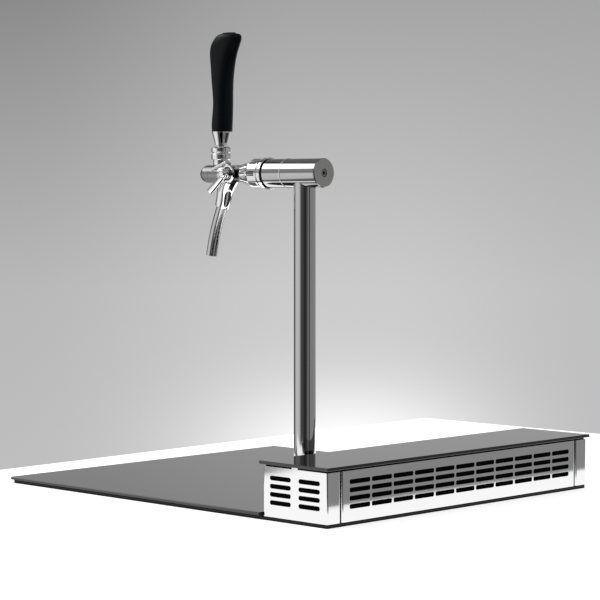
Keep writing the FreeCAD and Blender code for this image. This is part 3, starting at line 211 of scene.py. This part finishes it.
# The room as polished metal sees it: the wall in front, dark screens round the rest, and the soft boxes.
facing = angle.between(-32.0, -14.0, 30.0, 60.0) * height.step(24.0, 12.0)
back_wall = 0.55 - 0.11 * angle.step(1.0, -7.0)
side_box = angle.between(-145.0, -112.0, -85.0, -40.0) * (1 - 0.75 * height.step(1.0, 5.0))
right_box = angle.around(82.0, 50.0, 36.0) * (1 - 0.8 * height.step(0.0, 4.0))
right_box = right_box * height.step(-20.0, -11.0)
screens = SCREEN_LEVEL + 0.09 * height.step(6.0, 14.0) - 0.05 * abs(angle).step(160.0, 178.0)
screens = screens + SIDE_BOX_LEVEL * side_box + RIGHT_BOX_LEVEL * right_box
screens = screens + STRIP_LEVEL * angle.around(146.0, 12.0)
screens = screens - 0.05 * height.step(-14.0, -22.0)
high_box = HIGH_BOX_LEVEL * angle.around(-75.0, 45.0, 25.0) * height.between(23.0, 26.0, 42.0, 46.0)
rear_box = REAR_BOX_LEVEL * abs(angle).step(95.0, 125.0) * height.between(14.0, 20.0, 50.0, 60.0)
mirror = facing * back_wall + (1 - facing) * screens + high_box + rear_box

strength = PLAIN_LEVEL + seen * (wall - PLAIN_LEVEL) + glossy * (mirror - PLAIN_LEVEL)
shine = room.node("ShaderNodeBackground", inputs={"Color": PLAIN_WHITE, "Strength": strength})
room.out(shine, "ShaderNodeOutputWorld")


# Studio lamps
# Two square soft boxes right of the unit, the brighter one before it and the other behind, both aimed at
# its foot.
# Each line gives the lamp's name, its place and size in metres, and its power in watts.
LAMPS = [("key_box", (1.2, -1.6, 2.2), 1.6, 34),
         ("fill_box", (2.4, 1.4, 1.6), 1.4, 16)]
LAMP_TARGET = Vector((0, 0, 0.1))

for name, place, size, power in LAMPS:
    lamp = bpy.data.lights.new(name, "AREA")
    lamp.size = size
    lamp.energy = power
    box = bpy.data.objects.new(name, lamp)
    bpy.context.collection.objects.link(box)
    box.location = place
    box.rotation_euler = (LAMP_TARGET - box.location).to_track_quat("-Z", "Y").to_euler()
    box.visible_glossy = False


# Black glass
# Two sheets of polished black glass, bedded in rubber: the plate that glasses stand on, and the cover of the
# vent box.
GLASS_BLACK = (0.006, 0.006, 0.007)
GLASS_DUST = (0.011, 0.011, 0.012)


def give(material, *nodes):
    """Put one material on the whole of each named CAD piece."""
    for node in nodes:
        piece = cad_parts[node]
        piece.data.materials.clear()
        piece.data.materials.append(material)


def finish(name, constants, varying):
    """A material with one Principled shader; varying(tree) returns the inputs that change over a surface."""
    material = bpy.data.materials.new(name)
    tree = Tree(material)
    inputs = {**constants, **varying(tree)}
    tree.out(tree.node("ShaderNodeBsdfPrincipled", inputs=inputs))
    return material


def glass_face(tree):
    """Near-black with a trace of dust, and a face that is polished but not quite flat."""
    dust = tree.noise(420.0, 3.0).step(0.55, 0.9)
    return {"Base Color": tree.mix(dust, GLASS_BLACK, GLASS_DUST),
            "Roughness": 0.03 + 0.03 * tree.noise(9.0)}


give(finish("black_glass", {"IOR": 1.52}, glass_face), "lower_glass", "cover_glass")


# Rubber
# Seals, bedding and beads of black rubber, moulded or cut from sheet and pressed between the pieces that
# they seal. They are matt and faintly mottled.
RUBBER_DARK = (0.003, 0.003, 0.003)
RUBBER_LIGHT = (0.007, 0.007, 0.007)


def relief(tree, height, strength, depth):
    """The surface's direction over fine bumps of the given height pattern, depth metres deep."""
    return tree.node("ShaderNodeBump", inputs={"Strength": strength, "Distance": depth, "Height": height})


def rubber_skin(tree):
    """Cloudy near-black with a fine grain."""
    return {"Base Color": tree.mix(tree.noise(60.0), RUBBER_DARK, RUBBER_LIGHT),
            "Roughness": 0.7 + 0.2 * tree.noise(300.0),
            "Normal": relief(tree, tree.noise(2600.0), 0.15, 0.0002)}


rubber = finish("black_rubber", {"Specular IOR Level": 0.12}, rubber_skin)
give(rubber, "worktop_seal", "glass_bedding", "box_seal", "junction_bead", "cover_gasket", "rosette_seal",
     "line_grommet", "tap_gasket", "ball_seat", "piston_ring", "side_seal")


# Folded steel
# The vent box is punched and bent from bright stainless sheet and screwed together. Fine brush marks run
# along its walls.
SHEET_DARK = (0.60, 0.60, 0.605)
SHEET_LIGHT = (0.64, 0.64, 0.645)


def brushed_sheet(tree):
    """Thin level brush marks over a slow cloudiness."""
    marks = tree.noise(1.0, 3.0, (6.0, 6.0, 2400.0))
    cloud = tree.noise(14.0, 2.0, (1.0, 1.0, 2.5))
    return {"Base Color": tree.mix(cloud, SHEET_DARK, SHEET_LIGHT),
            "Roughness": 0.04 + 0.05 * marks + 0.02 * cloud,
            "Normal": relief(tree, marks, 0.05, 0.0001)}


box_steel = finish("bright_sheet_steel", {"Metallic": 1.0}, brushed_sheet)
give(box_steel, "end_cap_right", "end_cap_left", "rear_grille", "front_panel")


# Inner steel and fasteners
# Plain turned or milled steel as it leaves the machine: screws, spigots, head core and the moving pieces
# inside the tap. It shows only at the screw heads.
MILL_DARK = (0.34, 0.34, 0.35)
MILL_LIGHT = (0.46, 0.46, 0.47)


def mill_steel(tree):
    """Cloudy satin grey."""
    return {"Base Color": tree.mix(tree.noise(45.0, 4.0), MILL_DARK, MILL_LIGHT),
            "Roughness": 0.34 + 0.14 * tree.noise(160.0)}


plain_steel = finish("plain_steel", {"Metallic": 1.0}, mill_steel)
give(plain_steel, "box_screws", "column_screws", "column_spigot", "head_core", "head_spigot",
     "tap_shank", "valve_stem", "flow_cone", "side_shaft", "tap_lever", "end_cap_screw")


# Filter mats
# Black open-celled foam, cut to size and laid behind the slots. Its near-black colour is painted shade: it
# stands in for the dark inside the box, so that the slots look empty.
# Painted shade: the two foam colours stand in for the dark inside the vent box.
FOAM_SHADE_DARK = (0.0004, 0.0004, 0.0004)
FOAM_SHADE_LIGHT = (0.0016, 0.0016, 0.0016)


def foam(tree):
    """Round cells about a millimetre across."""
    place = tree.node("ShaderNodeTexCoord", output="Object")
    cells = tree.node("ShaderNodeTexVoronoi", inputs={"Vector": place, "Scale": 900.0})
    return {"Base Color": tree.mix(cells.step(0.1, 0.5), FOAM_SHADE_DARK, FOAM_SHADE_LIGHT),
            "Roughness": 0.9 + 0.1 * cells,
            "Normal": relief(tree, cells, 0.8, 0.0006)}


filter_foam = finish("filter_foam", {"Specular IOR Level": 0.03}, foam)
give(filter_foam, "filter_mat_rear", "filter_mat_right", "filter_mat_left")


# Polished tube
# Column, rosette and the two head tubes are polished stainless steel. The column stands on its clamping
# spigot, coped at the top to the round of the head, and the head tubes sit on the head core.
TUBE_DARK = (0.54, 0.54, 0.545)
TUBE_LIGHT = (0.58, 0.58, 0.585)


def polished(tree):
    """Mirror steel with a faint long haze."""
    haze = tree.noise(30.0, 3.0, (1.0, 1.0, 0.3))
    return {"Base Color": tree.mix(haze, TUBE_DARK, TUBE_LIGHT),
            "Roughness": 0.03 + 0.03 * haze}


polished_steel = finish("polished_steel", {"Metallic": 1.0}, polished)
give(polished_steel, "column_tube", "rosette", "head_tube_rear", "head_tube_front")


# Seam ring
# A narrow steel ring over the joint of the two head tubes, turned bright and a little softer in its shine
# than the tubes.
RING_DARK = (0.86, 0.86, 0.865)
RING_LIGHT = (0.92, 0.92, 0.925)


def bright_ring(tree):
    """Pale steel with a short haze."""
    haze = tree.noise(120.0)
    return {"Base Color": tree.mix(haze, RING_DARK, RING_LIGHT),
            "Roughness": 0.32 + 0.06 * haze}


give(finish("seam_steel", {"Metallic": 1.0}, bright_ring), "seam_ring")


# Head end cap
# A turned steel disc held by one screw: satin on its face, with the marks of the tool round its middle, and
# painted shadow on its rim: a dark line that stands in for the shadow where it meets the tube. The head's
# axis is at
# HEAD_EAST and HEAD_UP, in metres.
HEAD_EAST = 0.1485
HEAD_UP = 0.424
CAP_DARK = (0.50, 0.505, 0.48)
CAP_LIGHT = (0.64, 0.645, 0.62)
CAP_RIM_SHADOW = (0.34, 0.34, 0.345)


def past(place, start):
    """How far a coordinate lies past start, in millimetres."""
    return (place - start) * 1000.0


def reach(across, lift):
    """The distance from an axis: the root of the sum of the two offsets' squares."""
    return (across * across + lift * lift).math("SQRT")


def turned_cap(tree):
    """Rings of tool marks and fine specks, and painted shadow on the rim past 18 mm from the axis."""
    east, north, up = tree.axes()
    radius = reach(past(east, HEAD_EAST), past(up, HEAD_UP))
    marks = (radius * 9.0 + 1.5 * tree.noise(160.0, 3.0)).math("SINE") * 0.5 + 0.5
    face = tree.mix(0.5 * marks + 0.5 * tree.noise(900.0, 3.0), CAP_DARK, CAP_LIGHT)
    # Painted shadow: the rim past 18 mm is coloured dark for the shadow at the joint with the tube.
    return {"Base Color": tree.mix(radius.step(18.0, 18.3), face, CAP_RIM_SHADOW),
            "Roughness": 0.16 + 0.08 * marks}


give(finish("cap_steel", {"Metallic": 1.0}, turned_cap), "head_end_cap")


# Tap chrome
# Bonnet, ferrule, side gland and the flow lever's cap are turned from brass, polished and chrome plated. The
# bonnet holds the lever's ball on its seat, and the ferrule runs over the bonnet.
CHROME_DARK = (0.90, 0.90, 0.905)
CHROME_LIGHT = (0.95, 0.95, 0.955)


def plated(tree):
    """Mirror chrome with a faint haze."""
    haze = tree.noise(55.0, 3.0)
    return {"Base Color": tree.mix(haze, CHROME_DARK, CHROME_LIGHT),
            "Roughness": 0.015 + 0.025 * haze}


tap_chrome = finish("tap_chrome", {"Metallic": 1.0}, plated)
give(tap_chrome, "bonnet_collar", "bonnet_nut", "ferrule", "side_gland", "flow_cap")


# Spout
# A bent stainless tube pressed into the socket of the tap body. It is drawn bright, so its reflections are
# softer than chrome's.
SPOUT_DARK = (0.54, 0.54, 0.545)
SPOUT_LIGHT = (0.68, 0.68, 0.685)


def drawn_tube(tree):
    """Long streaks down the tube."""
    streak = tree.noise(260.0, 2.0, (1.0, 1.0, 0.08))
    return {"Base Color": tree.mix(streak, SPOUT_DARK, SPOUT_LIGHT),
            "Roughness": 0.14 + 0.06 * streak}


give(finish("spout_steel", {"Metallic": 1.0}, drawn_tube), "spout")


# Tap body
# A brass casting, polished and chrome plated. Its nose, the waist behind the flow lever and the lower part
# of a ring round
# the boss carry painted shade: a darker colour that stands in for dark reflections and shadow, with a
# rougher shine. The boss's axis is at BOSS_NORTH, in metres.
BOSS_NORTH = 0.0345
# Colours of the painted shade: grey on the nose, near-black on the waist and round the boss.
NOSE_PAINTED_SHADE = (0.34, 0.34, 0.345)
WAIST_PAINTED_SHADE = (0.09, 0.09, 0.095)


def cast_body(tree):
    """Chrome, with painted shade placed by position on the nose, the waist and the lower part of the ring
    round the boss.
    """
    east, north, up = tree.axes()
    off_axis = abs(up - HEAD_UP)
    # Painted shade: masks by place for the nose, the waist and the lower ring round the boss, standing in
    # for dark reflections and shadow.
    nose_shade_mask = north.step(0.012, 0.009) * off_axis.step(0.0120, 0.0112)
    waist_shade_mask = north.between(0.036, 0.039, 0.049, 0.051) * off_axis.step(0.0100, 0.0070)
    lift = past(up, HEAD_UP)
    boss_shade_mask = reach(past(north, BOSS_NORTH), lift).step(15.0, 14.2) * (east * 1000.0).step(153.0, 154.0)
    waist_shade_mask = (waist_shade_mask + boss_shade_mask * lift.step(7.0, 4.0)).limit()
    bright = plated(tree)
    painted_shade = tree.mix(waist_shade_mask, NOSE_PAINTED_SHADE, WAIST_PAINTED_SHADE)
    return {"Base Color": tree.mix((nose_shade_mask + waist_shade_mask).limit(), bright["Base Color"], painted_shade),
            "Roughness": bright["Roughness"] + 0.28 * nose_shade_mask + 0.1 * waist_shade_mask}


give(finish("cast_chrome", {"Metallic": 1.0}, cast_body), "tap_body")


# Coupling nut
# A chromed brass nut that draws the tap onto the head. The bottoms of the milled flutes carry painted shade,
# a dark colour that stands in for the shadow in the flutes, and a rougher shine. It narrows in two slopes,
# with lengths in mm forward of the column's axis.
COLUMN_NORTH = 0.158
NUT_RADIUS = 19.5
SHOULDER_START = 85.6
SHOULDER_LENGTH = 5.0
SHOULDER_SLOPE = 0.54
CONE_SLOPE = 0.225
# Colour of the painted shade in the flute bottoms.
FLUTE_PAINTED_SHADE = (0.16, 0.16, 0.165)


def fluted(tree):
    """Chrome, with painted shade where the surface lies more than 0.25 mm under the nut's outline."""
    east, north, up = tree.axes()
    forward = (COLUMN_NORTH - north) * 1000.0
    radius = reach(past(east, HEAD_EAST), past(up, HEAD_UP))
    shoulder = (forward - SHOULDER_START).math("MAXIMUM", 0.0).math("MINIMUM", SHOULDER_LENGTH)
    cone = (forward - (SHOULDER_START + SHOULDER_LENGTH)).math("MAXIMUM", 0.0)
    depth = NUT_RADIUS - SHOULDER_SLOPE * shoulder - CONE_SLOPE * cone - radius
    # Painted shade: the flute bottoms are coloured dark to stand in for the shadow in the flutes.
    flute_shade_mask = depth.step(0.25, 0.9)
    bright = plated(tree)
    return {"Base Color": tree.mix(flute_shade_mask, bright["Base Color"], FLUTE_PAINTED_SHADE),
            "Roughness": bright["Roughness"] + 0.12 * flute_shade_mask}


give(finish("fluted_chrome", {"Metallic": 1.0}, fluted), "coupling_nut")


# Front plug
# A domed brass plug that closes the front of the tap, nickel plated with a satin finish: it stays grey
# beside the polished tap.
NICKEL_DARK = (0.30, 0.30, 0.305)
NICKEL_LIGHT = (0.36, 0.36, 0.365)


def satin(tree):
    """Soft grey metal."""
    haze = tree.noise(70.0, 3.0)
    return {"Base Color": tree.mix(haze, NICKEL_DARK, NICKEL_LIGHT),
            "Roughness": 0.28 + 0.08 * haze}


give(finish("satin_nickel", {"Metallic": 1.0}, satin), "front_plug")


# Flow lever
# A chromed hub on the side shaft, with an arm and a bent rod, held by its cap: polished all over, with
# painted shade on a ring of the face and on the side of the rim, a dark colour that stands in for shadow and
# dark reflections, with a rougher shine there. Lengths are in mm, east from the middle of the unit and
# outwards from the boss's axis.
FACE_EAST = 165.4
# Colour of the painted shade on the lever's hub.
LEVER_PAINTED_SHADE = (0.06, 0.06, 0.065)


def lever_with_painted_shade(tree):
    """Chrome, with painted shade on a ring of the face and on the side of the rim behind the face."""
    east, north, up = tree.axes()
    east_mm = east * 1000.0
    radius = reach(past(north, BOSS_NORTH), past(up, HEAD_UP))
    face = (east_mm.around(FACE_EAST, 0.5) * 4.0).limit()
    # Painted shade: a ring of the face and the side of the rim are coloured dark for shadow and dark
    # reflections.
    face_ring_shade = face * radius.between(6.5, 6.8, 8.8, 9.2)
    rim_side_shade = radius.between(11.4, 11.7, 12.3, 12.6) * east_mm.step(164.4, 163.9)
    lever_shade_mask = (face_ring_shade + rim_side_shade).limit()
    bright = plated(tree)
    return {"Base Color": tree.mix(lever_shade_mask, bright["Base Color"], LEVER_PAINTED_SHADE),
            "Roughness": bright["Roughness"] + 0.2 * lever_shade_mask}


give(finish("lever_chrome", {"Metallic": 1.0}, lever_with_painted_shade), "flow_lever")


# Base plate
# Steel sheet cut to the outline of the unit and powder coated black. It is screwed to the worktop, and only
# its edge shows, as a thin dark line.
COAT_DARK = (0.004, 0.004, 0.004)
COAT_LIGHT = (0.010, 0.010, 0.010)


def powder_coat(tree):
    """A fine orange-peel grain."""
    grain = tree.noise(1800.0)
    return {"Base Color": tree.mix(grain, COAT_DARK, COAT_LIGHT),
            "Roughness": 0.5 + 0.15 * grain,
            "Normal": relief(tree, grain, 0.2, 0.0001)}


give(finish("black_powder_coat", {"Specular IOR Level": 0.2}, powder_coat), "base_plate")


# Handle
# One moulding of black plastic, screwed onto the lever's stem above the ferrule, with a soft sheen and a
# barely felt grain.
HANDLE_DARK = (0.0008, 0.0014, 0.0018)
HANDLE_LIGHT = (0.0016, 0.0024, 0.0030)


def moulded(tree):
    """Near-black with a touch of blue."""
    grain = tree.noise(1500.0)
    return {"Base Color": tree.mix(grain, HANDLE_DARK, HANDLE_LIGHT),
            "Roughness": 0.28 + 0.08 * tree.noise(90.0),
            "Normal": relief(tree, grain, 0.06, 0.0001)}


give(finish("handle_black", {"Specular IOR Level": 0.18}, moulded), "handle")


# Head ring
# A plain ring of matt black plastic between the head and the coupling nut.
MATT_DARK = (0.008, 0.008, 0.008)
MATT_LIGHT = (0.014, 0.014, 0.014)


def matt_ring(tree):
    """Faintly cloudy black."""
    return {"Base Color": tree.mix(tree.noise(200.0), MATT_DARK, MATT_LIGHT)}


give(finish("ring_black", {"Roughness": 0.5}, matt_ring), "head_ring")


# Beer line
# A milky plastic tube that runs up the column from the worktop to the head core.
MILK_DARK = (0.62, 0.63, 0.60)
MILK_LIGHT = (0.70, 0.71, 0.68)


def milky(tree):
    """Cloudy off-white."""
    return {"Base Color": tree.mix(tree.noise(80.0), MILK_DARK, MILK_LIGHT),
            "Roughness": 0.3 + 0.05 * tree.noise(150.0)}


give(finish("milky_tube", {"IOR": 1.45}, milky), "beer_line")
